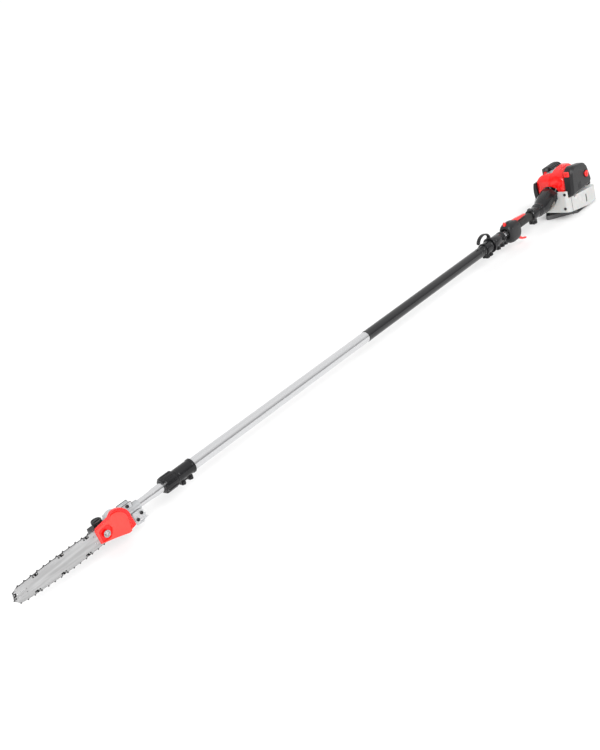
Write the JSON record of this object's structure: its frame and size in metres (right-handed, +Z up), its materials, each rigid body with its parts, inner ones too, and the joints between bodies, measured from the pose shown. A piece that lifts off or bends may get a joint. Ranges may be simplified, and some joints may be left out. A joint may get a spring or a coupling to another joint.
{
  "type": "telescoping pole saw",
  "caption": "Petrol telescoping pole saw: chain saw head and bar on a sliding pole, twist lock, harness hook, throttle handle and a small two-stroke engine on a foot.",
  "frame": {"origin": "centre of the flat underside of the engine stand", "axes": "+Z up, +X along the pole from the saw to the engine"},
  "size_m": [2.7602, 0.178, 0.197],
  "materials": {
    "aluminium_tube": "satin",
    "cast_aluminium": "satin",
    "steel": "satin",
    "bar_steel": "satin",
    "dark_steel": "satin",
    "bronze": "satin",
    "red_plastic": "gloss",
    "black_plastic": "satin",
    "black_sleeve": "gloss",
    "black_rubber": "matte",
    "white_plastic": "satin",
    "filter_foam": "matte"
  },
  "bodies": {
    "powerhead": {"outer_tube": "aluminium_tube", "engine_tube": "aluminium_tube", "shaft_bushes": "bronze", "grip_sleeve": "black_sleeve", "lock_collar": "black_plastic", "hook_clamp": "black_plastic", "harness_hook": "dark_steel", "tube_coupler": "black_plastic", "clamp_bolts": "dark_steel", "handle_left": "black_plastic", "handle_right": "black_plastic", "rear_grip": "black_rubber", "clutch_housing": "black_plastic", "fan_housing": "black_plastic", "crankcase": "cast_aluminium", "cylinder": "cast_aluminium", "spark_plug": "steel", "engine_shroud": "red_plastic", "muffler": "dark_steel", "muffler_guard": "black_plastic", "carburettor": "cast_aluminium", "air_filter": "filter_foam", "filter_cover": "black_plastic", "fuel_tank": "white_plastic", "engine_stand": "black_plastic", "starter_housing": "black_plastic"},
    "saw_head": {"inner_tube": "aluminium_tube", "gear_housing": "cast_aluminium", "housing_cover": "cast_aluminium", "hook_plate": "cast_aluminium", "head_bolts": "steel", "sprocket_cover": "red_plastic", "bar_nut": "steel", "guide_bar": "bar_steel", "saw_chain": "steel", "head_bearings": "steel", "oil_tank": "white_plastic"},
    "lock_knob": {"lock_knob": "black_plastic"},
    "outer_shaft": {"outer_drive_shaft": "steel", "clutch_drum": "steel"},
    "inner_shaft": {"inner_drive_shaft": "steel", "bevel_pinion": "steel"},
    "sprocket_shaft": {"gear_shaft": "steel", "drive_sprocket": "steel"},
    "nose_sprocket": {"nose_sprocket": "steel"},
    "crank": {"crankshaft": "steel", "flywheel": "cast_aluminium", "clutch_shoes": "steel"},
    "piston": {"piston": "cast_aluminium"},
    "connecting_rod": {"connecting_rod": "steel"},
    "throttle_trigger": {"throttle_trigger": "red_plastic"},
    "throttle_lock": {"throttle_lock": "red_plastic"},
    "stop_switch": {"stop_switch": "red_plastic"},
    "choke_lever": {"choke_lever": "red_plastic"},
    "primer_bulb": {"primer_bulb": "red_plastic"},
    "filter_knob": {"filter_knob": "red_plastic"},
    "fuel_cap": {"fuel_cap": "black_plastic"},
    "oil_cap": {"oil_cap": "black_plastic"},
    "starter_pulley": {"starter_pulley": "black_plastic"},
    "starter_handle": {"starter_handle": "black_plastic"}
  },
  "joints": [
    {"name": "telescope", "type": "slide", "parent": "powerhead", "child": "saw_head", "axis": [-1, 0, 0], "range_m": [0, 1]},
    {"name": "lock_twist", "type": "hinge", "parent": "powerhead", "child": "lock_knob", "pos_m": [-2.097, 0, 0.08], "axis": [1, 0, 0], "range_deg": [0, 70]},
    {"name": "outer_shaft_spin", "type": "hinge", "parent": "powerhead", "child": "outer_shaft", "pos_m": [-0.14, 0, 0.08], "axis": [1, 0, 0], "continuous": true},
    {"name": "inner_shaft_spin", "type": "hinge", "parent": "saw_head", "child": "inner_shaft", "pos_m": [-2.25, 0, 0.08], "axis": [1, 0, 0], "continuous": true},
    {"name": "sprocket_spin", "type": "hinge", "parent": "saw_head", "child": "sprocket_shaft", "pos_m": [-2.275, 0, 0.08], "axis": [0, 1, 0], "continuous": true},
    {"name": "nose_sprocket_spin", "type": "hinge", "parent": "saw_head", "child": "nose_sprocket", "pos_m": [-2.582, -0.02, 0.0845], "axis": [0, 1, 0], "continuous": true},
    {"name": "crank_spin", "type": "hinge", "parent": "powerhead", "child": "crank", "pos_m": [-0.01, 0, 0.08], "axis": [1, 0, 0], "continuous": true},
    {"name": "piston_slide", "type": "slide", "parent": "powerhead", "child": "piston", "axis": [0, 0, -1], "range_m": [0, 0.028]},
    {"name": "rod_swing", "type": "hinge", "parent": "piston", "child": "connecting_rod", "pos_m": [-0.01, 0, 0.148], "axis": [1, 0, 0], "range_deg": [-14, 14]},
    {"name": "trigger_squeeze", "type": "hinge", "parent": "powerhead", "child": "throttle_trigger", "pos_m": [-0.35, 0, 0.055], "axis": [0, -1, 0], "range_deg": [0, 16], "stiffness_Nm_per_rad": 0.4, "springref_deg": -28.65},
    {"name": "throttle_lock_press", "type": "hinge", "parent": "powerhead", "child": "throttle_lock", "pos_m": [-0.351, 0, 0.104], "axis": [0, 1, 0], "range_deg": [0, 3], "stiffness_Nm_per_rad": 1, "springref_deg": -8.59},
    {"name": "stop_switch_slide", "type": "slide", "parent": "powerhead", "child": "stop_switch", "axis": [1, 0, 0], "range_m": [0, 0.005]},
    {"name": "choke_turn", "type": "hinge", "parent": "powerhead", "child": "choke_lever", "pos_m": [-0.074, -0.076, 0.176], "axis": [1, 0, 0], "range_deg": [0, 60]},
    {"name": "primer_press", "type": "slide", "parent": "powerhead", "child": "primer_bulb", "axis": [0, 1, 0], "range_m": [0, 0.0028], "stiffness_N_per_m": 800, "springref_m": -0.002},
    {"name": "filter_knob_turn", "type": "hinge", "parent": "powerhead", "child": "filter_knob", "pos_m": [0.034, -0.095, 0.142], "axis": [0, 1, 0], "range_deg": [0, 720]},
    {"name": "fuel_cap_turn", "type": "hinge", "parent": "powerhead", "child": "fuel_cap", "pos_m": [0.118, -0.038, 0.072], "axis": [0, 0, 1], "range_deg": [0, 540]},
    {"name": "oil_cap_turn", "type": "hinge", "parent": "saw_head", "child": "oil_cap", "pos_m": [-2.32, 0.015, 0.1], "axis": [0, 0, 1], "range_deg": [0, 540]},
    {"name": "starter_pull", "type": "slide", "parent": "powerhead", "child": "starter_handle", "axis": [0, 0, 1], "range_m": [0, 0.6], "stiffness_N_per_m": 12, "springref_m": -0.6},
    {"name": "starter_pulley_spin", "type": "hinge", "parent": "powerhead", "child": "starter_pulley", "pos_m": [0.075, 0, 0.08], "axis": [1, 0, 0], "range_deg": [0, 1376]}
  ],
  "couplings": [
    {"joint": "inner_shaft_spin", "follows": "outer_shaft_spin", "ratio": 1},
    {"joint": "sprocket_spin", "follows": "outer_shaft_spin", "ratio": -0.75},
    {"joint": "nose_sprocket_spin", "follows": "outer_shaft_spin", "ratio": -0.58333},
    {"joint": "starter_pulley_spin", "follows": "starter_pull", "rad_per_m": 40}
  ]
}
